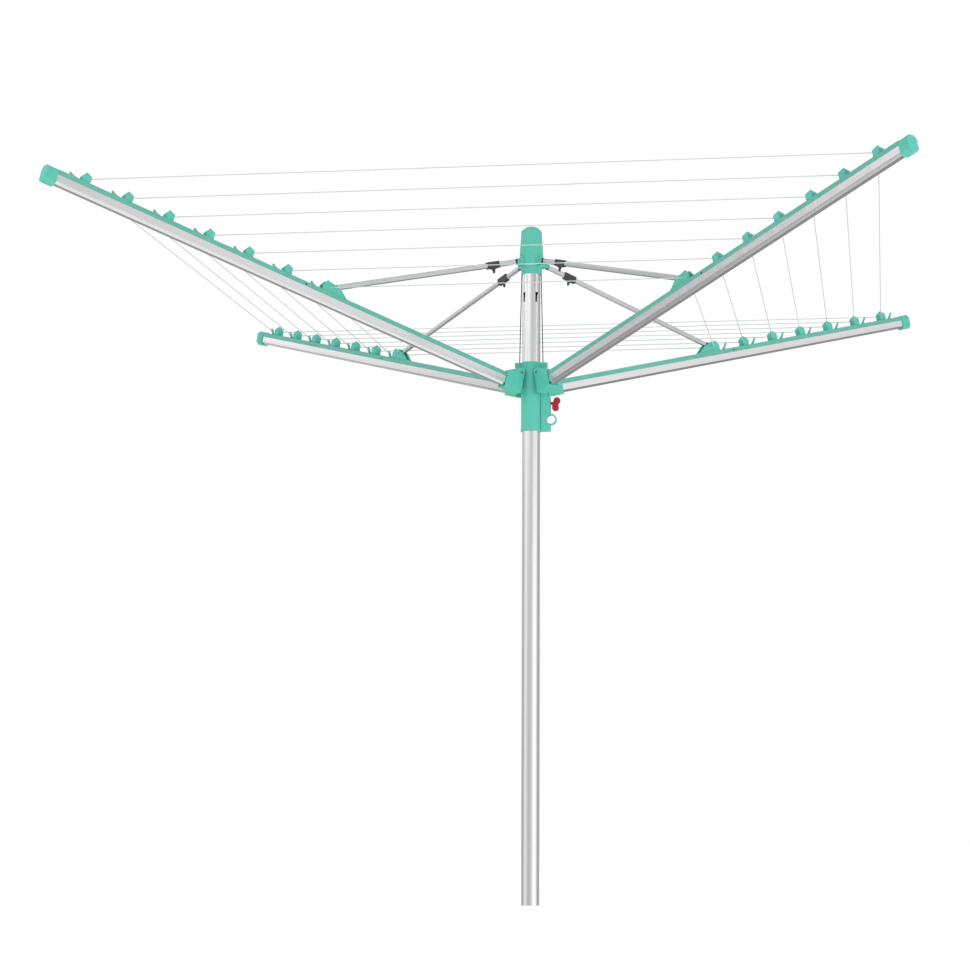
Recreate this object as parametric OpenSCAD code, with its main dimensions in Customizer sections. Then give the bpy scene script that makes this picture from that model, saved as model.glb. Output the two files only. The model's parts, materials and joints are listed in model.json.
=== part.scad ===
// Rotary clothesline: a post with a turning mast, and four arms that fold up like an umbrella.
// Millimetres, +Z up. The origin is at the bottom centre of the ground post, and +X is the side
// of the hub that carries the clamp screw.

/* [Pole] */
// Outside diameter of the ground post and of the mast
pole_d = 50; // [48:0.5:52]
// Wall thickness of both tubes
pole_wall = 1.5; // [1:0.1:2.5]
// Height of the turning joint between the post and the mast
joint_z = 1291; // [1280:1:1291]
// Height of the top of the mast tube
mast_top = 1786; // [1780:1:1792]

/* [Arms] */
// Height at which the centre lines of the open arms would meet
arm_z = 1403; // [1395:1:1410]
// Upward slope of the open arms in degrees
arm_slope = 14.5; // [13:0.1:16]
// Distance from the pole axis to the middle of an arm's end cap
arm_reach = 1460; // [1420:1:1500]
// Width of the aluminium arm profile
arm_w = 27; // [25:0.5:30]
// Height of the aluminium arm profile
arm_h = 24.5; // [23:0.5:26]
// Turn of the arms from open to closed in degrees
fold_angle = 71; // [60:1:71]

/* [Lines] */
// Number of rings of line
rings = 7; // [5:1:7]
// Distance from the pole axis to the outermost ring, along an arm
ring_r = 1363; // [1340:1:1380]
// Distance between two rings, along an arm
ring_pitch = 115; // [105:1:116]
// Height of the lines above the arms' centre lines
line_rise = 29; // [27:1:31]
// Diameter of the line
line_d = 2.4; // [2:0.1:3]

/* [Struts] */
// Height of a strut's flat oval tube
strut_h = 15; // [14:0.5:16]
// Thickness of a strut's flat oval tube
strut_t = 8; // [7:0.5:8]
// Distance of the hanger hook from the strut's upper pin
hook_at = 92; // [80:1:110]

/* [Hub] */
// Distance from the pole axis to the pins of the arms and to the upper pins of the struts
pivot_r = 44; // [43:0.5:46]
// Height of the arm pins when the clothesline is open
hub_pin_z = 1450; // [1448:1:1452]
// Height of the lower edge of the sliding sleeve when open
hub_bottom = 1290.5; // [1288:0.5:1294]
// Height of the top of the hub when open
hub_top = 1483; // [1480:1:1486]
// Height of the clamp screw's knob
knob_z = 1368; // [1364:1:1372]
// Downward tilt of the clamp screw in degrees
knob_tilt = 12; // [0:1:15]

/* [Head] */
// Height of the lower edge of the head collar
collar_bottom = 1732; // [1730:1:1734]
// Height of the top of the cap
cap_top = 1867; // [1860:1:1875]
// Half the width of the cap across its flats, at its lower edge
cap_half = 31.5; // [31.5:0.1:33]

/* [Hidden] */
ARMS = ["front_right", "rear_right", "rear_left", "front_left"];
AZIMUTH = [-45, 45, 135, 225];
// The side on which an arm's lines go to the pegs and not to the wedges: the left side's two arms
PEG_SIDE = [0, 0, 1, -1];
// The front right arm has no pegs, and the front left arm has short ones
PEG_LENGTH = [0, 19, 19, 12];
ARM_PIECES = ["profile", "guide_rail", "strut_bracket", "end_cap", "knuckle", "lines",
              "strut_pin", "tensioner"];
STRUT_PIECES = ["tube", "ends", "hook"];
$fn = 48;

alu = "silver";
teal = "mediumaquamarine";
dark = "dimgray";

pole_r = pole_d / 2;
bore_r = pole_r - pole_wall;
slide_fit = 0.4;
pin_fit = 0.05;
eps = 0.01;

// The arm's own frame: x runs along the arm, z stands square to it, and its origin is on the pole axis
function arm_x(r, up) = r * cos(arm_slope) + up * sin(arm_slope);
function arm_up(r, up) = up * cos(arm_slope) - r * sin(arm_slope);
function line_up(r) = r * tan(arm_slope) + line_rise;
function ring(i) = ring_r - i * ring_pitch;
function wedge_x(i) = arm_x(ring(i), line_up(ring(i)));

rail_h = 12.5;
profile_top = 6;
profile_bottom = profile_top - arm_h;
rail_top = profile_top + rail_h;
tip_x = arm_reach / cos(arm_slope);
cap_len = 32;
profile_end = tip_x - cap_len / 2 + 8;
profile_start = 80;
knuckle_end = 100;

hub_pin_x = arm_x(pivot_r, hub_pin_z - arm_z);
hub_pin_up = arm_up(pivot_r, hub_pin_z - arm_z);
hub_pin_r = 4;
knuckle_w = 34;
knuckle_round = 14;
tongue_t = 11;

// The strut is as long as the arm's pin distance, so the hub moves straight down as the arms fold
strut_pin_x = wedge_x(rings - 1) - 21;
strut_pin_up = 35;
strut_pin_r = 3;
strut_eye_r = 8;
strut_joint_r = strut_pin_x * cos(arm_slope) - strut_pin_up * sin(arm_slope);
strut_joint_z = arm_z + strut_pin_x * sin(arm_slope) + strut_pin_up * cos(arm_slope);
head_pin_z = 2 * strut_joint_z - hub_pin_z;
strut_run = strut_joint_r - pivot_r;
strut_drop = head_pin_z - strut_joint_z;
strut_len = sqrt(strut_run * strut_run + strut_drop * strut_drop);
strut_slope = atan(strut_drop / strut_run);
hub_travel = 2 * strut_len * (sin(strut_slope + fold_angle) - sin(strut_slope));

wedge_h = 29;
wedge_w = 20;
// The line at a peg is this far outside the wedge, and the peg's foot stands further in
peg_gap = 42;
peg_lean = 38;
peg_set_back = 7.5;

cord_r = 1.25;
cord_hub_x = 33;
pulley_x = 19.8;
pulley_z = mast_top + 14;
pulley_wrap_r = 7.5;
weight_top = 805;
weight_len = 120;
eye_x = 55;
eye_z = 1323;
eye_r = 11.8;
eye_rim = 4;

module at_arm(i) {
    rotate([0, 0, AZIMUTH[i]]) children();
}

module in_arm(i) {
    at_arm(i) translate([0, 0, arm_z]) rotate([0, -arm_slope, 0]) children();
}

// The strut's own frame: the origin is at its upper pin and x runs down along it
module in_strut(i) {
    at_arm(i) translate([pivot_r, 0, head_pin_z]) rotate([0, strut_slope, 0]) children();
}

module box(low, high) {
    translate(low) cube(high - low);
}

// A bar of an x-z outline, centred on y
module plate(outline, width) {
    rotate([90, 0, 0]) translate([0, 0, -width / 2]) linear_extrude(width) polygon(outline);
}

module cross_pin(x, z, r, length) {
    translate([x, 0, z]) rotate([90, 0, 0]) cylinder(h = length, r = r, center = true);
}

module tube(z0, z1, r_out, r_in) {
    translate([0, 0, z0]) difference() {
        cylinder(h = z1 - z0, r = r_out, $fn = 96);
        translate([0, 0, -1]) cylinder(h = z1 - z0 + 2, r = r_in, $fn = 96);
    }
}

// ---- Post and mast

module ground_post() {
    color(alu) tube(0, joint_z - 1, pole_r, bore_r);
}

// A hollow bearing: pressed into the post, with a thrust flange, and a journal inside the mast
module bearing_spigot() {
    inner_r = 17;
    color("whitesmoke") {
        tube(joint_z - 81, joint_z - 1, bore_r, inner_r);
        tube(joint_z - 1, joint_z + 1, pole_r - 0.4, inner_r);
        tube(joint_z + 1 - eps, joint_z + 80, bore_r - 2 * pin_fit, inner_r);
    }
}

module mast_tube() {
    slot_w = 9;
    slot_low = 1652;
    slot_high = 1680;
    color(alu) difference() {
        tube(joint_z + 1.2, mast_top, pole_r, bore_r);
        for (i = [0:3]) at_arm(i)
            box([bore_r - 3, -slot_w / 2, slot_low], [pole_r + 3, slot_w / 2, slot_high]);
    }
}

// ---- Head: the collar with its four forks, the pulleys and the cap

module head_collar() {
    neck_r = 28.5;
    bridge_y = 4;
    bridge_t = 3;
    fork_t = 4;
    color(teal) difference() {
        union() {
            rotate_extrude($fn = 96) polygon([
                [pole_r + pin_fit, collar_bottom], [pole_r + 1.2, collar_bottom],
                [pole_r + 8, head_pin_z - 2], [pole_r + 8, mast_top],
                [neck_r, mast_top], [neck_r, mast_top + 6], [pole_r + pin_fit, mast_top + 6]
            ]);
            for (i = [0:3]) at_arm(i) for (side = [-1, 1])
                translate([0, side * (strut_t + fork_t + 0.8) / 2, 0]) intersection() {
                    union() {
                        cross_pin(pivot_r, head_pin_z, 9, fork_t);
                        translate([0, -fork_t / 2, 0])
                            box([pole_r + 2, 0, head_pin_z - 9], [pivot_r, fork_t, head_pin_z + 9]);
                    }
                    tube(collar_bottom, mast_top, 80, pole_r + 1);
                }
            for (side = [-1, 1]) translate([0, side * (bridge_y + bridge_t / 2), 0])
                box([-pole_r - 2.4, -bridge_t / 2, mast_top + 0.5],
                    [pole_r + 2.4, bridge_t / 2, pulley_z + 5]);
        }
        for (i = [0:3]) at_arm(i) cross_pin(pivot_r, head_pin_z, strut_pin_r, 40);
        for (side = [-1, 1]) {
            translate([side * (pulley_x + pulley_wrap_r), 0, collar_bottom - 1])
                cylinder(h = 90, r = 1.7);
            cross_pin(side * pulley_x, pulley_z, 2, 40);
        }
    }
}

module strut_head_pins() {
    color(dark) for (i = [0:3]) at_arm(i)
        cross_pin(pivot_r, head_pin_z, strut_pin_r, strut_t + 0.8 + 8);
}

// An eight-sided cap: a tapered shell with a bevelled top
module cap_solid(inset) {
    flat = 1 / cos(22.5);
    shoulder = cap_top - 11;
    rotate([0, 0, 22.5]) {
        translate([0, 0, mast_top])
            cylinder(h = shoulder - mast_top - inset, r1 = (cap_half - inset) * flat,
                     r2 = (cap_half - 4.5 - inset) * flat, $fn = 8);
        translate([0, 0, shoulder - inset - eps])
            cylinder(h = cap_top - shoulder + eps, r1 = (cap_half - 4.5 - inset) * flat,
                     r2 = (cap_half - 17 - inset) * flat, $fn = 8);
    }
}

module top_cap() {
    color(teal) difference() {
        cap_solid(0);
        translate([0, 0, -eps]) cap_solid(1.7);
    }
}

module pulley(side) {
    groove_r = pulley_wrap_r - cord_r - 0.3;
    color("whitesmoke") translate([side * pulley_x, 0, pulley_z]) rotate([90, 0, 0])
        rotate_extrude() polygon([
            [2 + pin_fit, -3.5], [8.3, -3.5], [8.3, -2.6], [groove_r, -1.6],
            [groove_r, 1.6], [8.3, 2.6], [8.3, 3.5], [2 + pin_fit, 3.5]
        ]);
}

module pulley_axles() {
    color(alu) for (side = [-1, 1]) cross_pin(side * pulley_x, pulley_z, 2, 14);
}

// ---- Lift cords: from the hub up into the head, over the pulleys and down inside the mast

module strand(from, to, r) {
    d = to - from;
    length = norm(d);
    translate(from) rotate([0, acos(d[2] / length), atan2(d[1], d[0])]) cylinder(h = length, r = r);
}

module lift_cords() {
    outer_x = pulley_x + pulley_wrap_r;
    color("black") for (side = [-1, 1]) {
        strand([side * cord_hub_x, 0, hub_top - 12], [side * outer_x, 0, collar_bottom], cord_r);
        strand([side * outer_x, 0, collar_bottom], [side * outer_x, 0, pulley_z], cord_r);
        translate([side * pulley_x, 0, pulley_z]) rotate([90, 0, 0])
            rotate_extrude(angle = 180) translate([pulley_wrap_r, 0]) circle(r = cord_r, $fn = 24);
        translate([side * cord_hub_x, 0, hub_top - 14]) cylinder(h = 10, r = 2.6);
    }
}

module inner_cords() {
    color("black") for (side = [-1, 1])
        translate([side * (pulley_x - pulley_wrap_r), 0, weight_top])
            cylinder(h = pulley_z - weight_top - 0.1, r = cord_r);
}

module cord_weight() {
    color(dark) translate([0, 0, weight_top - weight_len]) {
        cylinder(h = weight_len - 6, r = 15.5);
        translate([0, 0, weight_len - 6 - eps]) cylinder(h = 6, r1 = 15.5, r2 = 14.8);
    }
}

// ---- Hub: the sliding sleeve with four tongues for the arms, and its clamp

module hub_body() {
    sleeve_r = pole_r + 3.2;
    head_r = pole_r + 4;
    pocket_x = 45;
    pocket_w = 16;
    color(teal) difference() {
        union() {
            rotate_extrude($fn = 96) polygon([
                [pole_r + slide_fit, hub_bottom], [sleeve_r + 1, hub_bottom],
                [sleeve_r + 1, hub_bottom + 4], [sleeve_r, hub_bottom + 8],
                [sleeve_r, hub_pin_z - 50], [head_r, hub_pin_z - 40],
                [head_r, hub_top], [pole_r + slide_fit, hub_top]
            ]);
            for (i = [0:3]) at_arm(i) {
                cross_pin(pivot_r, hub_pin_z, 9, tongue_t);
                translate([0, -tongue_t / 2, 0])
                    box([pole_r + 2, 0, hub_pin_z - 9], [pivot_r, tongue_t, hub_pin_z + 9]);
            }
            for (side = [-1, 1]) plate([
                [side * (pole_r + 2), hub_top - 32], [side * (pole_r + 4), hub_top - 32],
                [side * pocket_x, hub_top - 12], [side * pocket_x, hub_top],
                [side * (pole_r + 2), hub_top]
            ], pocket_w);
        }
        for (i = [0:3]) at_arm(i) cross_pin(pivot_r, hub_pin_z, hub_pin_r, 40);
        for (side = [-1, 1]) translate([side * (cord_hub_x + 2.5), 0, 0])
            box([-6, -5, hub_top - 14.5], [6, 5, hub_top + 1]);
        translate([0, 0, hub_bottom - 1]) cylinder(h = hub_top, r = pole_r + slide_fit, $fn = 96);
        screw_way(4.1);
    }
}

// The clamp screw's tilted axis, with its origin at the knob's inner face
module at_screw() {
    translate([60, 0, knob_z]) rotate([0, 90 + knob_tilt, 0]) children();
}

module screw_way(r) {
    at_screw() translate([0, 0, -40]) cylinder(h = 60, r = r);
}

module lock_housing() {
    half_w = 9;
    right = 54;
    top = 1396;
    round_r = 16;
    color(teal) difference() {
        union() {
            rotate([90, 0, 0]) translate([0, 0, -half_w]) linear_extrude(2 * half_w) union() {
                translate([pole_r, hub_bottom]) square([right - pole_r, top - round_r - hub_bottom]);
                translate([pole_r, hub_bottom]) square([right - pole_r - round_r, top - hub_bottom]);
                translate([right - round_r, top - round_r]) circle(r = round_r);
            }
            cross_pin(eye_x, eye_z, eye_r + eye_rim, 10);
        }
        cross_pin(eye_x, eye_z, eye_r, 40);
        translate([0, 0, hub_bottom - 1]) cylinder(h = 200, r = pole_r + 4.25, $fn = 96);
        screw_way(4.1);
    }
}

// The clamp screw: a plain shank, a dark neck and a two-winged knob
module lock_screw() {
    wing_r = 9.5;
    color("firebrick") at_screw() {
        translate([0, 0, -33.4]) cylinder(h = 34, r = 4);
        cylinder(h = 5, r = 6.5);
        translate([0, 0, 5 - eps]) cylinder(h = 11, r = 7.5);
        for (side = [-1, 1]) translate([side * 10, 0, 10]) rotate([90, 0, 0])
            cylinder(h = 6, r = wing_r, center = true);
    }
}

module hub_arm_pins() {
    color(dark) for (i = [0:3]) at_arm(i) cross_pin(pivot_r, hub_pin_z, hub_pin_r, knuckle_w);
}

// ---- Arms

// The profile's outline across the arm, pulled in by inset
module profile_outline(inset) {
    half = arm_w / 2 - inset;
    chamfer = 6;
    polygon([
        [-half, profile_top - inset], [-half, profile_bottom + chamfer],
        [chamfer - arm_w / 2 + inset * 0.4, profile_bottom + inset],
        [arm_w / 2 - chamfer - inset * 0.4, profile_bottom + inset],
        [half, profile_bottom + chamfer], [half, profile_top - inset]
    ]);
}

// Extrudes an outline of (across, up) along the arm from x0 to x1
module along_arm(x0, x1) {
    translate([x0, 0, 0]) rotate([90, 0, 90]) linear_extrude(x1 - x0) children();
}

module arm_profile(i) {
    color(alu) in_arm(i) difference() {
        along_arm(profile_start, profile_end) profile_outline(0);
        along_arm(profile_start - 1, profile_end + 1) profile_outline(1.6);
    }
}

// One wedge for a line, in the arm's frame at its own station: a block with a pointed top
module wedge() {
    half = wedge_w / 2;
    shoulder = 17;
    intersection() {
        plate([[-half, -eps], [-half - 1, shoulder], [1, wedge_h], [half + 2, shoulder - 3],
               [half + 1, -eps]], wedge_w);
        rotate([0, 0, 90]) plate([[-half, -eps], [-half, shoulder + 2], [0, wedge_h],
                                  [half, shoulder + 2], [half, -eps]], 3 * wedge_w);
    }
}

// A peg that leans outward, with the line or a hanger held at its neck
module peg(length) {
    rotate([0, peg_lean, 0]) {
        cylinder(h = length, r1 = 4.2, r2 = 2.4);
        translate([0, 0, length]) sphere(r = 3.4, $fn = 24);
    }
    translate([0, 0, -2]) cylinder(h = 4, r = 4.5);
}

module guide_rail(i) {
    color(teal) in_arm(i) union() {
        along_arm(profile_start, tip_x - cap_len / 2)
            translate([-arm_w / 2 + 0.5, profile_top]) square([arm_w - 1, rail_h]);
        for (k = [0:rings - 2]) translate([wedge_x(k), 0, rail_top]) wedge();
        if (PEG_LENGTH[i] > 0) for (k = [0:rings - 1])
            translate([wedge_x(k) + peg_gap - peg_set_back, 0, rail_top - eps]) peg(PEG_LENGTH[i]);
    }
}

module strut_bracket(i) {
    gap = strut_t + 0.8;
    foot = 2.5;
    x0 = wedge_x(rings - 1);
    color(teal) in_arm(i) difference() {
        translate([x0, 0, rail_top]) plate([
            [-68, 0], [-44, 19], [-22, 25], [1, wedge_h], [12, 14], [11, 0]
        ], wedge_w);
        box([x0 - 80, -gap / 2, rail_top + foot], [x0 + 30, gap / 2, rail_top + 60]);
        cross_pin(strut_pin_x, strut_pin_up, strut_pin_r, 60);
    }
}

module strut_pin(i) {
    color(dark) in_arm(i) cross_pin(strut_pin_x, strut_pin_up, strut_pin_r, wedge_w);
}

module end_cap(i) {
    half_w = 16;
    low = -23.5;
    high = 20;
    cut = 8;
    x0 = tip_x - cap_len / 2;
    color(teal) in_arm(i) difference() {
        along_arm(x0, x0 + cap_len) polygon([
            [-half_w, low + cut], [-half_w + cut, low], [half_w - cut, low], [half_w, low + cut],
            [half_w, high - cut], [half_w - cut, high], [-half_w + cut, high], [-half_w, high - cut]
        ]);
        along_arm(x0 - 1, profile_end) profile_outline(0);
    }
}

// The block at the arm's inner end: a fork over the hub's tongue, and a socket for the profile
module knuckle(i) {
    low = -23.5;
    face = hub_pin_x - 9.4;
    slot = 12;
    start = acos(-9.4 / knuckle_round);
    arc = [for (a = [start:-5:70])
        [hub_pin_x + knuckle_round * cos(a), hub_pin_up + knuckle_round * sin(a)]];
    color(teal) in_arm(i) difference() {
        plate(concat([[knuckle_end, 24], [knuckle_end, low], [face, low]], arc), knuckle_w);
        box([face - 9, -tongue_t / 2 - 0.5, hub_pin_up - slot],
            [hub_pin_x + slot, tongue_t / 2 + 0.5, hub_pin_up + 40]);
        box([profile_start, -arm_w / 2, profile_bottom], [knuckle_end + 1, arm_w / 2, rail_top]);
        cross_pin(hub_pin_x, hub_pin_up, hub_pin_r + pin_fit, 60);
    }
}

// Half of each line on both sides of an arm: the neighbouring arms hold the other halves
module half_line(r, side, clear) {
    reach = (r / 2 - clear) * sqrt(2);
    translate([r - clear, side * clear, arm_z + line_up(r)])
        rotate([0, 90, side * 135]) cylinder(h = reach - 0.1, r = line_d / 2, $fn = 16);
}

module arm_lines(i) {
    color("honeydew") at_arm(i) for (k = [0:rings - 1]) for (side = [-1, 1])
        if (side == PEG_SIDE[i]) half_line(ring(k) + peg_gap * cos(arm_slope), side, 5);
        else half_line(ring(k), side, wedge_w / 2 + 2);
}

// The carriage that draws the lines into the arm as it closes
module tensioner(i) {
    length = 70;
    outer_end = strut_pin_x - 20;
    color(dark) in_arm(i) difference() {
        box([outer_end - length, -10.5, -12], [outer_end, 10.5, 3.5]);
        for (x = [14, length - 14]) translate([outer_end - length + x, 0, -14])
            cylinder(h = 30, r = 5);
    }
}

// ---- Struts

module strut_outline(inset) {
    r = strut_t / 2 - inset;
    straight = strut_h - strut_t;
    square([2 * r, straight], center = true);
    for (side = [-1, 1]) translate([0, side * straight / 2]) circle(r = r);
}

module strut_tube(i) {
    color(alu) in_strut(i) difference() {
        along_arm(14, strut_len - 14) strut_outline(0);
        along_arm(13, strut_len - 13) strut_outline(1.2);
    }
}

// The eyes at both ends of a strut, each with a plug inside the tube
module strut_ends(i) {
    color(dark) in_strut(i) for (x = [0, strut_len]) {
        inward = x == 0 ? 1 : -1;
        difference() {
            union() {
                cross_pin(x, 0, strut_eye_r, strut_t);
                translate([x + inward * 7, 0, 0])
                    cube([14 - eps, strut_t, strut_h - 1], center = true);
                translate([x + inward * 19, 0, 0])
                    cube([24, strut_t - 4, strut_h - 6], center = true);
            }
            cross_pin(x, 0, strut_pin_r + pin_fit, 40);
        }
    }
}

// The clip around a strut, with the hook that points down
module strut_hook(i) {
    length = 40;
    wall = 2;
    spike = 15;
    color(dark) in_strut(i) {
        difference() {
            translate([hook_at, 0, 0])
                cube([length, strut_t + 2 * wall, strut_h + 2 * wall], center = true);
            along_arm(hook_at - length, hook_at + length) strut_outline(-pin_fit);
        }
        translate([hook_at, 0, -strut_h / 2]) plate([
            [-14, -wall + eps], [14, -wall + eps], [4, -5], [2.5, -spike], [-0.5, -spike], [-4, -5]
        ], 5);
    }
}

ground_post();
bearing_spigot();
mast_tube();
head_collar();
top_cap();
pulley(-1);  // pulley_left
pulley(1);  // pulley_right
pulley_axles();
lift_cords();
inner_cords();
cord_weight();
hub_body();
lock_housing();
lock_screw();
hub_arm_pins();
strut_head_pins();
for (i = [0:3]) {
    arm_profile(i);
    guide_rail(i);
    strut_bracket(i);
    end_cap(i);
    knuckle(i);
    arm_lines(i);
    strut_pin(i);
    tensioner(i);
    strut_tube(i);
    strut_ends(i);
    strut_hook(i);
}
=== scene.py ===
"""The looks of the rotary clothesline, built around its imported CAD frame."""

import json
import math

import bmesh
import bpy
from mathutils import Matrix, Vector


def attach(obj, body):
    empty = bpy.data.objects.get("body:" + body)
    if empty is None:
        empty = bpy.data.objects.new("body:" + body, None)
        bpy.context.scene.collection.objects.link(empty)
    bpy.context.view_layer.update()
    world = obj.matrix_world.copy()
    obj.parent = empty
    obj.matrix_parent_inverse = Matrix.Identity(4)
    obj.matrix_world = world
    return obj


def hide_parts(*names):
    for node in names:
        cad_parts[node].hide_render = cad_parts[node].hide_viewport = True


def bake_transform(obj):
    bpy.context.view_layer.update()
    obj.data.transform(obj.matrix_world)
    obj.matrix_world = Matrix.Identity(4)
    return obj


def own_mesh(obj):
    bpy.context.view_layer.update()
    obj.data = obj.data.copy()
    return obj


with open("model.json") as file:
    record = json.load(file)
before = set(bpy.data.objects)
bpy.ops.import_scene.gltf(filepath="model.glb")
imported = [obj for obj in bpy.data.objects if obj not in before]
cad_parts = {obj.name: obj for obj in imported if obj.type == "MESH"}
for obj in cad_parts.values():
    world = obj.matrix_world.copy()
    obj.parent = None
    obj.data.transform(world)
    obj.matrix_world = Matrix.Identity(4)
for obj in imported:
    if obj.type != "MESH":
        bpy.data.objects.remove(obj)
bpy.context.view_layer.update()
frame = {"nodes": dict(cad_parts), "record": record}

NODES = frame["nodes"]
RECORD = frame["record"]
BODY_OF = {n: body for body, nodes in RECORD["behaviour"]["bodies"].items() for n in nodes}
SLOT_OF = {part["node"]: part["material_slot"] for part in RECORD["subparts"]}
ARMS = {"front_right": -45, "rear_right": 45, "rear_left": 135, "front_left": 225}
SCENE = bpy.context.scene
MM = 0.001

# The design's own measures: lengths in millimetres, angles in radians
ARM_SLOPE = math.radians(14.5)
ARM_Z = 1403
PROFILE_R = 16
RING_R, RING_PITCH, RINGS = 1363, 115, 7
LINE_RISE, LINE_R = 29, 1.2
RAIL_TOP, RAIL_HALF = 18.5, 13
PEG_GAP, PEG_SET_BACK, PEG_LEAN = 42, 7.5, math.radians(38)
PEG_FOOT_R, PEG_TIP_R = 4.2, 2.4
PEG_LENGTH = {"rear_right": 19, "rear_left": 19, "front_left": 12}
POLE_R = 25
HUB_PIN_R, HUB_PIN_Z, HUB_TOP = 44, 1450, 1483
STRUT_PIN_BACK, STRUT_PIN_UP, STRUT_R = 21, 35, 7
PULLEY_X, PULLEY_Z, PULLEY_WRAP = 19.8, 1800, 7.5
CORD_R, CORD_HUB_X, CORD_FOOT, COLLAR_BOTTOM, WEIGHT_TOP = 1.25, 33, 1471, 1732, 805

# Where an arm's lines start at its pegs, and not at its wedges: on its left is 1 and on its right is -1
PEG_SIDE = {"rear_left": 1, "front_left": -1}
# How far from the arm's middle a line comes out of a wedge, or starts at a peg
WEDGE_EXIT, PEG_EXIT = 9.6, 3.4

# Where the camera stands, in degrees round to the right of the front and in metres
CAMERA_TURN, CAMERA_DISTANCE, CAMERA_HEIGHT = 8.293, 6.635, 0.2472
# How it is aimed, in degrees from the pole's direction to the left and from level upward
CAMERA_YAW, CAMERA_PITCH = -0.974, 7.669

# Edges sharper than the first angle are rounded. Those still sharper than the second are shaded as edges.
ROUNDED_ANGLE = math.radians(26)
SHARP_ANGLE = math.radians(32)


# ---- Camera


def make_camera():
    turn = math.radians(CAMERA_TURN)
    heading = turn + math.radians(CAMERA_YAW)
    pitch = math.radians(CAMERA_PITCH)
    data = bpy.data.cameras.new("camera")
    data.sensor_fit = "HORIZONTAL"
    data.sensor_width = 36
    data.lens = 90.19
    data.shift_x = -0.0897
    data.clip_start, data.clip_end = 0.1, 100
    camera = bpy.data.objects.new("camera", data)
    SCENE.collection.objects.link(camera)
    forward = Vector((
        -math.sin(heading) * math.cos(pitch),
        math.cos(heading) * math.cos(pitch),
        math.sin(pitch),
    ))
    camera.location = (
        CAMERA_DISTANCE * math.sin(turn), -CAMERA_DISTANCE * math.cos(turn), CAMERA_HEIGHT
    )
    camera.rotation_euler = forward.to_track_quat("-Z", "Y").to_euler()
    SCENE.camera = camera


make_camera()


# ---- Frames of reference


def arm_frame(name):
    """The arm's own frame, in millimetres: x along it, y across it, and the origin on the pole's axis."""
    return (
        Matrix.Rotation(math.radians(ARMS[name]), 4, "Z")
        @ Matrix.Translation((0, 0, ARM_Z))
        @ Matrix.Rotation(-ARM_SLOPE, 4, "Y")
    )


def guide_point(ring_r):
    """(x, up) in the arm's frame of the line at this distance from the pole axis."""
    rise = ring_r * math.tan(ARM_SLOPE) + LINE_RISE
    return (
        ring_r * math.cos(ARM_SLOPE) + rise * math.sin(ARM_SLOPE),
        rise * math.cos(ARM_SLOPE) - ring_r * math.sin(ARM_SLOPE),
    )


def wedge_x(k):
    """How far along the arm the wedge of line k is, counted from the outermost."""
    return guide_point(RING_R - RING_PITCH * k)[0]


def strut_frame(name):
    """The strut's own frame, in millimetres: the origin at its upper pin and x down along it."""
    pin_x = wedge_x(RINGS - 1) - STRUT_PIN_BACK
    pin_r = pin_x * math.cos(ARM_SLOPE) - STRUT_PIN_UP * math.sin(ARM_SLOPE)
    pin_z = ARM_Z + pin_x * math.sin(ARM_SLOPE) + STRUT_PIN_UP * math.cos(ARM_SLOPE)
    rise = pin_z - HUB_PIN_Z
    return (
        Matrix.Rotation(math.radians(ARMS[name]), 4, "Z")
        @ Matrix.Translation((HUB_PIN_R, 0, pin_z + rise))
        @ Matrix.Rotation(math.atan2(rise, pin_r - HUB_PIN_R), 4, "Y")
    )


# ---- Materials


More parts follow.
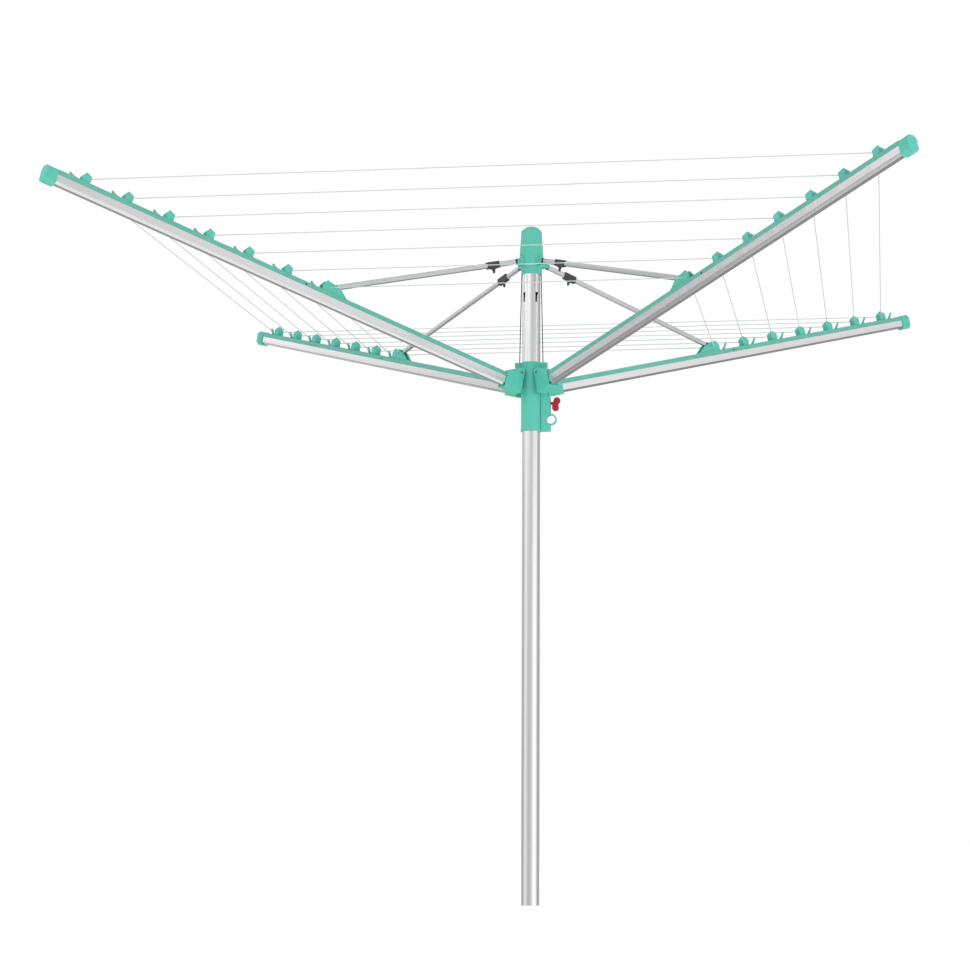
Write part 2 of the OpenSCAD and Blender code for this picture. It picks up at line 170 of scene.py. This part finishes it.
class Material:
    """A node material on the Principled shader, with short names for what is built again and again."""

    def __init__(self, name, color, roughness, metallic=0.0, **sockets):
        self.color = color
        self.material = bpy.data.materials.new(name)
        self.material.use_nodes = True
        self.nodes = self.material.node_tree.nodes
        self.links = self.material.node_tree.links
        self.shader = self.nodes["Principled BSDF"]
        self.shader.inputs["Base Color"].default_value = (*color, 1)
        self.shader.inputs["Roughness"].default_value = roughness
        self.shader.inputs["Metallic"].default_value = metallic
        for socket, value in sockets.items():
            self.shader.inputs[socket.replace("_", " ")].default_value = value
        self.coordinates = self.nodes.new("ShaderNodeTexCoord")
        self.last_normal = None

    def noise(self, scale, detail, stretch=(1, 1, 1), source="Object"):
        mapping = self.nodes.new("ShaderNodeMapping")
        mapping.inputs["Scale"].default_value = stretch
        noise = self.nodes.new("ShaderNodeTexNoise")
        noise.inputs["Scale"].default_value = scale
        noise.inputs["Detail"].default_value = detail
        self.links.new(self.coordinates.outputs[source], mapping.inputs["Vector"])
        self.links.new(mapping.outputs["Vector"], noise.inputs["Vector"])
        return noise.outputs["Fac"]

    def remap(self, value, low, high):
        """Runs from low to high over the range that noise mostly keeps to."""
        remap = self.nodes.new("ShaderNodeMapRange")
        remap.inputs["From Min"].default_value = 0.3
        remap.inputs["From Max"].default_value = 0.7
        remap.inputs["To Min"].default_value = low
        remap.inputs["To Max"].default_value = high
        self.links.new(value, remap.inputs["Value"])
        return remap.outputs["Result"]

    def tint(self, value, low, high):
        """Lets the base colour vary between low and high times its own."""
        mix = self.nodes.new("ShaderNodeMix")
        mix.data_type = "RGBA"
        for socket, share in ((mix.inputs[6], low), (mix.inputs[7], high)):
            socket.default_value = (*(min(1, c * share) for c in self.color), 1)
        self.links.new(self.remap(value, 0, 1), mix.inputs[0])
        self.links.new(mix.outputs[2], self.shader.inputs["Base Color"])

    def roughen(self, value, low, high):
        self.links.new(self.remap(value, low, high), self.shader.inputs["Roughness"])

    def bump(self, value, depth, strength):
        """Adds relief of this depth in metres to what the material already has."""
        bump = self.nodes.new("ShaderNodeBump")
        bump.inputs["Distance"].default_value = depth
        bump.inputs["Strength"].default_value = strength
        self.links.new(value, bump.inputs["Height"])
        if self.last_normal:
            self.links.new(self.last_normal, bump.inputs["Normal"])
        self.last_normal = bump.outputs["Normal"]
        self.links.new(self.last_normal, self.shader.inputs["Normal"])


def moulded_plastic(name, color, roughness):
    plastic = Material(name, color, roughness, Specular_IOR_Level=0.45)
    plastic.tint(plastic.noise(14, 3), 0.94, 1.05)
    plastic.roughen(plastic.noise(90, 3), roughness - 0.05, roughness + 0.06)
    plastic.bump(plastic.noise(1500, 2), 0.00003, 0.5)
    plastic.bump(plastic.noise(120, 2), 0.00006, 0.3)
    return plastic.material


def extruded_metal(name, color, roughness, streak):
    """Drawn or extruded aluminium: fine lines run along it, in its UV map's first direction."""
    metal = Material(name, color, roughness, metallic=1.0)
    lines = metal.noise(1, 3, (3, streak, 1), "UV")
    bands = metal.noise(1, 1, (0.8, streak / 9, 1), "UV")
    metal.tint(bands, 0.95, 1.03)
    metal.roughen(lines, roughness - 0.06, roughness + 0.08)
    metal.bump(lines, 0.00002, 0.35)
    metal.bump(metal.noise(35, 3), 0.00008, 0.15)
    return metal.material


def braided_cord(name, color):
    cord = Material(name, color, 0.75, Sheen_Weight=0.2)
    strands = []
    for lean in (1, -1):
        mapping = cord.nodes.new("ShaderNodeMapping")
        mapping.inputs["Rotation"].default_value = (0, 0, lean * math.radians(45))
        wave = cord.nodes.new("ShaderNodeTexWave")
        wave.inputs["Scale"].default_value = 260
        wave.inputs["Distortion"].default_value = 0.4
        cord.links.new(cord.coordinates.outputs["UV"], mapping.inputs["Vector"])
        cord.links.new(mapping.outputs["Vector"], wave.inputs["Vector"])
        strands.append(wave.outputs["Fac"])
    crossing = cord.nodes.new("ShaderNodeMath")
    crossing.operation = "MAXIMUM"
    cord.links.new(strands[0], crossing.inputs[0])
    cord.links.new(strands[1], crossing.inputs[1])
    cord.tint(crossing.outputs[0], 0.6, 1.5)
    cord.bump(crossing.outputs[0], 0.0003, 0.8)
    return cord.material


def sheathed_line(name, color):
    line = Material(name, color, 0.38, Specular_IOR_Level=0.5, Coat_Weight=0.15)
    line.tint(line.noise(2, 2, (6, 40, 1), "UV"), 0.95, 1.04)
    line.roughen(line.noise(60, 2), 0.32, 0.46)
    line.bump(line.noise(1, 2, (500, 300, 1), "UV"), 0.00004, 0.4)
    return line.material


def cast_metal(name, color):
    metal = Material(name, color, 0.62, metallic=0.6)
    metal.tint(metal.noise(40, 4), 0.75, 1.25)
    metal.roughen(metal.noise(70, 3), 0.5, 0.75)
    metal.bump(metal.noise(260, 4), 0.0004, 0.6)
    return metal.material


def turned_steel(name, color):
    steel = Material(name, color, 0.32, metallic=1.0)
    steel.tint(steel.noise(50, 2), 0.92, 1.06)
    steel.roughen(steel.noise(300, 3), 0.24, 0.42)
    steel.bump(steel.noise(900, 2), 0.00003, 0.3)
    return steel.material


MATERIALS = {
    "aluminium_tube": extruded_metal("brushed_aluminium_tube", (0.93, 0.93, 0.94), 0.2, 2600),
    "strut_tube": extruded_metal("drawn_aluminium_strut", (0.70, 0.705, 0.71), 0.26, 2600),
    "aluminium_profile": extruded_metal("anodised_aluminium_profile", (0.90, 0.895, 0.91), 0.22, 2000),
    "teal_plastic": moulded_plastic("teal_plastic", (0.095, 0.53, 0.42), 0.42),
    # The rail's darker teal is painted shade: its strip is coloured darker than the other teal pieces and
    # its own wedges.
    "teal_rail": moulded_plastic("teal_rail_painted_shade", (0.125, 0.44, 0.355), 0.36),
    "dark_plastic": moulded_plastic("dark_plastic", (0.045, 0.05, 0.05), 0.45),
    "red_plastic": moulded_plastic("red_plastic", (0.42, 0.012, 0.022), 0.34),
    "bearing_plastic": moulded_plastic("bearing_plastic", (0.78, 0.77, 0.72), 0.4),
    "steel_pin": turned_steel("steel_pin", (0.34, 0.345, 0.35)),
    "dark_screw": turned_steel("dark_screw", (0.07, 0.075, 0.075)),
    "black_cord": braided_cord("black_cord", (0.022, 0.024, 0.024)),
    "line_plastic": sheathed_line("line_plastic", (0.56, 0.62, 0.59)),
    "dark_weight": cast_metal("dark_weight", (0.09, 0.09, 0.095)),
}


# ---- Mesh tools


def wrap_uv(mesh, place, radius):
    """A UV map in metres: first along place's x axis, then round it."""
    layer = mesh.uv_layers.get("UVMap") or mesh.uv_layers.new(name="UVMap")
    back = place.inverted()
    spots = [back @ (v.co / MM) for v in mesh.vertices]
    for face in mesh.polygons:
        first = None
        for loop in face.loop_indices:
            spot = spots[mesh.loops[loop].vertex_index]
            angle = math.atan2(spot.z, spot.y)
            if first is None:
                first = angle
            angle -= 2 * math.pi * round((angle - first) / (2 * math.pi))
            layer.data[loop].uv = (spot.x * MM, angle * radius * MM)


def finish_piece(name, mesh, node, replace=True, ride=True, look=None):
    """Makes an object of a final mesh. It goes with the node's body and takes its material slot."""
    piece = bpy.data.objects.new(name, mesh)
    SCENE.collection.objects.link(piece)
    mesh.materials.clear()
    mesh.materials.append(MATERIALS[look or SLOT_OF[node]])
    mesh.polygons.foreach_set("use_smooth", [True] * len(mesh.polygons))
    mesh.set_sharp_from_angle(angle=SHARP_ANGLE)
    if ride:
        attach(piece, BODY_OF[node])
    if replace:
        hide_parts(node)
    return piece


def soften(bm, width, segments):
    """Rounds the sharp edges by width in metres."""
    sharp = [
        edge for edge in bm.edges
        if len(edge.link_faces) == 2 and edge.calc_face_angle(0) > ROUNDED_ANGLE
    ]
    bmesh.ops.bevel(
        bm, geom=sharp, offset=width, offset_type="OFFSET", segments=segments, profile=0.5,
        affect="EDGES", clamp_overlap=True, loop_slide=True, harden_normals=False,
    )


def refine(node, width, segments=2, uv=None, look=None):
    """A detailed piece from a CAD node: clean faces, edges rounded by width, and smooth curved walls."""
    bm = bmesh.new()
    bm.from_mesh(NODES[node].data)
    bmesh.ops.remove_doubles(bm, verts=bm.verts, dist=2e-6)
    bmesh.ops.dissolve_limit(
        bm, angle_limit=math.radians(0.4), verts=bm.verts, edges=bm.edges, delimit=set()
    )
    soften(bm, width * MM, segments)
    bmesh.ops.recalc_face_normals(bm, faces=bm.faces)
    mesh = bpy.data.meshes.new(node + "_look")
    bm.to_mesh(mesh)
    bm.free()
    if uv:
        wrap_uv(mesh, *uv)
    piece = finish_piece(node + "_look", mesh, node, look=look)
    weighted = piece.modifiers.new("even_shading", "WEIGHTED_NORMAL")
    weighted.keep_sharp = True
    return piece


def sweep(path, radius, sides, closed=False):
    """(vertices, faces, uvs) of a round tube along path, in millimetres. The uvs are in metres."""
    path = [Vector(p) for p in path]
    count = len(path)
    side = None
    verts, faces, uvs, along = [], [], [], [0.0]
    for i in range(1, count + (1 if closed else 0)):
        along.append(along[-1] + (path[i % count] - path[i - 1]).length)
    for i, point in enumerate(path):
        before = path[i - 1] if i or closed else point
        after = path[(i + 1) % count] if i < count - 1 or closed else point
        ahead = (after - before).normalized()
        if side is None:
            side = ahead.orthogonal().normalized()
        side = (side - ahead * side.dot(ahead)).normalized()
        up = ahead.cross(side)
        for k in range(sides):
            turn = 2 * math.pi * k / sides
            verts.append(point + (side * math.cos(turn) + up * math.sin(turn)) * radius)
    for i in range(count if closed else count - 1):
        for k in range(sides):
            k2, j = (k + 1) % sides, (i + 1) % count
            faces.append((i * sides + k, j * sides + k, j * sides + k2, i * sides + k2))
            v0, v1 = (2 * math.pi * radius * n / sides * MM for n in (k, k + 1))
            u0, u1 = along[i] * MM, along[i + 1] * MM
            uvs.append(((u0, v0), (u1, v0), (u1, v1), (u0, v1)))
    if not closed:
        for first, order in ((0, 1), ((count - 1) * sides, -1)):
            faces.append(tuple(first + k for k in range(sides))[::order])
            uvs.append(tuple((0, 0) for _ in range(sides)))
    return verts, faces, uvs


def lathe(outline, sides, place):
    """(vertices, faces, uvs) of an outline of (radius, height), turned about place's z axis."""
    verts, faces, uvs = [], [], []
    for radius, height in outline:
        for k in range(sides):
            turn = 2 * math.pi * k / sides
            verts.append(place @ Vector((radius * math.cos(turn), radius * math.sin(turn), height)))
    for i in range(len(outline) - 1):
        for k in range(sides):
            k2 = (k + 1) % sides
            j = i + 1
            faces.append((i * sides + k, i * sides + k2, j * sides + k2, j * sides + k))
    last = (len(outline) - 1) * sides
    faces.append(tuple(range(sides))[::-1])
    faces.append(tuple(last + k for k in range(sides)))
    for face in faces:
        uvs.append(tuple((verts[v].x * MM, verts[v].z * MM) for v in face))
    return verts, faces, uvs


def to_mesh(name, *shells):
    """One mesh in metres from several (vertices, faces, uvs) in millimetres."""
    verts, faces, uvs = [], [], []
    for shell_verts, shell_faces, shell_uvs in shells:
        base = len(verts)
        verts += [tuple(Vector(v) * MM) for v in shell_verts]
        faces += [tuple(base + v for v in face) for face in shell_faces]
        uvs += shell_uvs
    mesh = bpy.data.meshes.new(name)
    mesh.from_pydata(verts, [], faces)
    layer = mesh.uv_layers.new(name="UVMap")
    for face, corners in zip(mesh.polygons, uvs):
        for loop, uv in zip(face.loop_indices, corners):
            layer.data[loop].uv = uv
    bm = bmesh.new()
    bm.from_mesh(mesh)
    bmesh.ops.recalc_face_normals(bm, faces=bm.faces)
    bm.to_mesh(mesh)
    bm.free()
    return mesh


# ---- Pole, head and hub

POLE = Matrix.Rotation(-math.pi / 2, 4, "Y")
refine("ground_post", 0.35, uv=(POLE, POLE_R))
refine("mast_tube", 0.3, uv=(POLE, POLE_R))
refine("bearing_spigot", 0.3)
refine("head_collar", 0.7, 3)
refine("top_cap", 1.6, 3)
refine("pulley_left", 0.3)
refine("pulley_right", 0.3)
refine("pulley_axles", 0.3)
refine("cord_weight", 1.0, 3)
refine("hub_body", 0.8, 3)
refine("lock_housing", 1.1, 3)
refine("lock_screw", 1.1, 3)
refine("hub_arm_pins", 0.5)
refine("strut_head_pins", 0.4)


def make_lift_cord(name, side):
    """The strand from the hub to the head and over its pulley, with a knot where it leaves the hub."""
    outer = side * (PULLEY_X + PULLEY_WRAP)
    foot = Vector((side * CORD_HUB_X, 0, CORD_FOOT))
    collar = Vector((outer, 0, COLLAR_BOTTOM))
    top = Vector((outer, 0, PULLEY_Z))
    outside, inside, turns = 80, 8, 20
    path = [foot.lerp(collar, i / outside) for i in range(outside)]
    path += [collar.lerp(top, i / inside) for i in range(inside)]
    for i in range(turns + 1):
        turn = math.pi * i / turns
        x = side * (PULLEY_X + PULLEY_WRAP * math.cos(turn))
        path.append(Vector((x, 0, PULLEY_Z + PULLEY_WRAP * math.sin(turn))))
    knot = [(0.6, 0), (1.9, 0.4), (2.5, 1.6), (2.6, 4.6), (2.5, 7.6), (1.9, 9), (1.2, 9.6)]
    knot_place = Matrix.Translation((side * CORD_HUB_X, 0, CORD_FOOT - 1.8))
    mesh = to_mesh(name, sweep(path, CORD_R, 12), lathe(knot, 16, knot_place))
    piece = finish_piece(name, mesh, "lift_cords", ride=False)
    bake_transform(piece)


def make_inner_cord(name, side):
    """The strand inside the mast, from the pulley down to the weight."""
    inner = side * (PULLEY_X - PULLEY_WRAP)
    top = Vector((inner, 0, PULLEY_Z))
    foot = Vector((inner, 0, WEIGHT_TOP - 2))
    steps = 150
    path = [top.lerp(foot, i / steps) for i in range(steps + 1)]
    mesh = to_mesh(name, sweep(path, CORD_R - 0.02, 12))
    piece = finish_piece(name, mesh, "inner_cords", ride=False)
    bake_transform(piece)


for side, word in ((1, "right"), (-1, "left")):
    make_lift_cord("lift_cord_" + word, side)
    make_inner_cord("inner_cord_" + word, side)


# ---- Arms


def make_lines(arm):
    """The arm's half of each line on both its sides, from its wedge or peg to half-way."""
    azimuth = math.radians(ARMS[arm])
    out = Vector((math.cos(azimuth), math.sin(azimuth), 0))
    across = Vector((-math.sin(azimuth), math.cos(azimuth), 0))
    for k in range(RINGS):
        for side in (1, -1):
            ring_r = RING_R - RING_PITCH * k
            clear = WEDGE_EXIT
            if PEG_SIDE.get(arm) == side:
                ring_r += PEG_GAP * math.cos(ARM_SLOPE)
                clear = PEG_EXIT
            ahead = (across * side - out).normalized()
            height = ARM_Z + ring_r * math.tan(ARM_SLOPE) + LINE_RISE
            guide = out * ring_r + Vector((0, 0, height))
            start = guide + ahead * clear * math.sqrt(2)
            end = guide + ahead * ring_r / 2 * math.sqrt(2)
            steps = 12
            path = [start.lerp(end, i / steps) for i in range(steps + 1)]
            name = f"line_{arm}_{'left' if side > 0 else 'right'}_{k + 1}"
            mesh = to_mesh(name, sweep(path, LINE_R, 10))
            piece = finish_piece(name, mesh, f"arm_{arm}_lines")
            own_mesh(piece)


def make_screws(arm):
    """The two small screws that hold the rail, one on each side of the arm."""
    along, up = 765, 11.5
    head = [(0.6, -0.5), (1.1, 0.45), (2.3, 0.55), (2.75, 0.2), (2.85, -0.4)]
    shells = []
    for side in (1, -1):
        outward = Matrix.Rotation(-side * math.pi / 2, 4, "X")
        place = arm_frame(arm) @ Matrix.Translation((along, side * RAIL_HALF, up)) @ outward
        shells.append(lathe(head, 24, place))
    name = f"rail_screws_{arm}"
    mesh = to_mesh(name, *shells)
    finish_piece(name, mesh, f"arm_{arm}_strut_pin", replace=False, look="dark_screw")


def make_peg_loops(arm):
    """The turn of line round each peg's neck."""
    if arm not in PEG_SIDE:
        return
    lean = Vector((math.sin(PEG_LEAN), 0, math.cos(PEG_LEAN)))
    flat = Vector((math.cos(PEG_LEAN), 0, -math.sin(PEG_LEAN)))
    across = Vector((0, 1, 0))
    steps = 24
    loops = []
    for k in range(RINGS):
        foot = Vector((wedge_x(k) + PEG_GAP - PEG_SET_BACK, 0, RAIL_TOP))
        line_up = guide_point(RING_R - RING_PITCH * k + PEG_GAP * math.cos(ARM_SLOPE))[1]
        reach = min((line_up - RAIL_TOP) / math.cos(PEG_LEAN), PEG_LENGTH[arm] - 3)
        neck_r = PEG_FOOT_R + (PEG_TIP_R - PEG_FOOT_R) * reach / PEG_LENGTH[arm]
        radius = neck_r + LINE_R * 0.8
        ring = []
        for i in range(steps):
            turn = 2 * math.pi * i / steps
            spot = foot + lean * reach + (flat * math.cos(turn) + across * math.sin(turn)) * radius
            ring.append(arm_frame(arm) @ spot)
        loops.append(sweep(ring, LINE_R, 10, closed=True))
    name = f"peg_loops_{arm}"
    mesh = to_mesh(name, *loops)
    finish_piece(name, mesh, f"arm_{arm}_lines", replace=False)


def brighten_wedges(mesh, place):
    """Gives what stands on the rail's top the brighter colour of the other plastic pieces. The strip below
    keeps a darker teal, which is painted shade.
    """
    mesh.materials.append(MATERIALS["teal_plastic"])
    back = place.inverted()
    for face in mesh.polygons:
        if (back @ (face.center / MM)).z > RAIL_TOP + 0.3:
            face.material_index = 1


for arm in ARMS:
    along_arm = arm_frame(arm)
    refine(f"arm_{arm}_profile", 0.9, 3, uv=(along_arm, PROFILE_R))
    # The rail's strip gets the darker teal of painted shade, and its wedges the brighter teal
    rail = refine(f"arm_{arm}_guide_rail", 0.8, 3, look="teal_rail")
    brighten_wedges(rail.data, along_arm)
    refine(f"arm_{arm}_strut_bracket", 0.8, 3)
    refine(f"arm_{arm}_end_cap", 0.9, 3)
    refine(f"arm_{arm}_knuckle", 1.6, 3)
    refine(f"arm_{arm}_strut_pin", 0.4)
    refine(f"arm_{arm}_tensioner", 0.6)
    refine(f"strut_{arm}_tube", 0.3, uv=(strut_frame(arm), STRUT_R), look="strut_tube")
    refine(f"strut_{arm}_ends", 0.7, 3)
    refine(f"strut_{arm}_hook", 0.8, 3)
    make_lines(arm)
    make_screws(arm)
    make_peg_loops(arm)


# ---- Floor, world and lights


def make_floor():
    half = 14
    corners = [(-half, -half, 0), (half, -half, 0), (half, half, 0), (-half, half, 0)]
    mesh = bpy.data.meshes.new("floor")
    mesh.from_pydata(corners, [], [(0, 1, 2, 3)])
    floor = bpy.data.objects.new("floor", mesh)
    SCENE.collection.objects.link(floor)
    paint = Material("pale_floor", (0.93, 0.93, 0.93), 0.9)
    paint.shader.inputs["Emission Color"].default_value = (1, 1, 1, 1)
    paint.shader.inputs["Emission Strength"].default_value = 0.32
    paint.shader.inputs["Specular IOR Level"].default_value = 0.0
    paint.tint(paint.noise(3, 2), 0.99, 1.01)
    mesh.materials.append(paint.material)
    floor.visible_glossy = False


# What the metal mirrors: how bright the studio's walls are, below and above a height of about 9 degrees, by
# the angle in degrees to the right of the camera as seen from the object. These are points of smooth
# curves, set so that the streaks of light on the tubes and arms resemble those in the photo.
LOW_WALL = [
    (-180, 0.66), (-150, 0.62), (-134, 0.55), (-115, 0.36), (-64, 0.87), (-43, 0.58), (-20, 0.47),
    (3, 0.6), (43, 1.17), (60, 1.12), (108, 0.34), (129, 0.42), (150, 0.6),
]
HIGH_WALL = [
    (-180, 0.7), (-150, 0.66), (-129, 0.76), (-116, 1.35), (-108.5, 1.3), (-105, 0.06), (-102, 0.12),
    (-99.5, 0.86), (-95, 1.12), (-71, 1.06), (-43, 1.2), (-30, 1.2), (12, 0.52), (50, 0.5), (61, 0.44),
    (67, 0.84), (80, 0.84), (92, 0.54), (110, 0.5), (150, 0.64),
]
# How bright it is far below the horizon, by the sine of the angle over it, and high above the horizon
GROUND = [(-1, 0.94), (-0.86, 0.94), (-0.76, 0.26), (-0.4, 0.29), (1, 0.3)]
SKY = 0.75


def make_world():
    world = bpy.data.worlds.new("studio")
    SCENE.world = world
    world.use_nodes = True
    nodes, links = world.node_tree.nodes, world.node_tree.links
    background = nodes["Background"]
    coordinates = nodes.new("ShaderNodeTexCoord")
    parts = nodes.new("ShaderNodeSeparateXYZ")
    links.new(coordinates.outputs["Generated"], parts.inputs["Vector"])

    def calculate(operation, first, second=None):
        node = nodes.new("ShaderNodeMath")
        node.operation = operation
        for socket, value in ((node.inputs[0], first), (node.inputs[1], second)):
            if isinstance(value, (int, float)):
                socket.default_value = value
            elif value is not None:
                links.new(value, socket)
        return node.outputs[0]

    def blend(share, first, second):
        """second where share is 1, and first where it is 0."""
        return calculate(
            "ADD", calculate("MULTIPLY", first, calculate("SUBTRACT", 1, share)),
            calculate("MULTIPLY", second, share),
        )

    def curve(value, points, low=-1, high=1):
        """A smooth curve through points of (value, brightness)."""
        spread = nodes.new("ShaderNodeMapRange")
        spread.inputs["From Min"].default_value = low
        spread.inputs["From Max"].default_value = high
        links.new(value, spread.inputs["Value"])
        ramp = nodes.new("ShaderNodeValToRGB")
        ramp.color_ramp.interpolation = "EASE"
        stops = ramp.color_ramp.elements
        while len(stops) < len(points):
            stops.new(0.5)
        for stop, (at, bright) in zip(stops, sorted(points)):
            stop.position = (at - low) / (high - low)
            stop.color = (bright, bright, bright, 1)
        links.new(spread.outputs["Result"], ramp.inputs["Fac"])
        return ramp.outputs["Color"]

    def wall(points):
        return curve(angle, [(math.radians(at), bright) for at, bright in points], -math.pi, math.pi)

    def step(start, stop):
        """0 below the sine start and 1 above the sine stop."""
        return curve(rise, [(-1, 0), (start, 0), (stop, 1), (1, 1)])

    backward = calculate("MULTIPLY", parts.outputs["Y"], -1)
    azimuth = calculate("ARCTAN2", parts.outputs["X"], backward)
    angle = calculate("WRAP", calculate("SUBTRACT", azimuth, math.radians(CAMERA_TURN)), math.pi)
    angle.node.inputs[2].default_value = -math.pi
    rise = parts.outputs["Z"]
    walls = blend(step(0.14, 0.19), wall(LOW_WALL), wall(HIGH_WALL))
    above_ground = blend(step(-0.42, -0.28), curve(rise, GROUND), walls)
    studio = blend(step(0.35, 0.7), above_ground, SKY)
    seen = nodes.new("ShaderNodeLightPath").outputs["Is Camera Ray"]
    links.new(blend(seen, studio, 1), background.inputs["Color"])
    background.inputs["Strength"].default_value = 1.0


def make_area(name, at, toward, size, watts):
    data = bpy.data.lights.new(name, "AREA")
    data.shape = "DISK"
    data.size = size
    data.energy = watts
    light = bpy.data.objects.new(name, data)
    SCENE.collection.objects.link(light)
    light.visible_glossy = False
    light.location = at
    light.rotation_euler = (Vector(toward) - Vector(at)).to_track_quat("-Z", "Y").to_euler()


make_floor()
make_world()
make_area("key_light", at=(4.2, -3.6, 1.6), toward=(0, 0, 1.3), size=2.4, watts=62)
make_area("fill_light", at=(-2.8, -2.6, 2.3), toward=(-0.6, -0.6, 1.5), size=1.4, watts=13)
make_area("rear_light", at=(1.0, 4.6, 4.0), toward=(0, 0, 1.3), size=2.6, watts=30)
SCENE.view_settings.view_transform = "Standard"
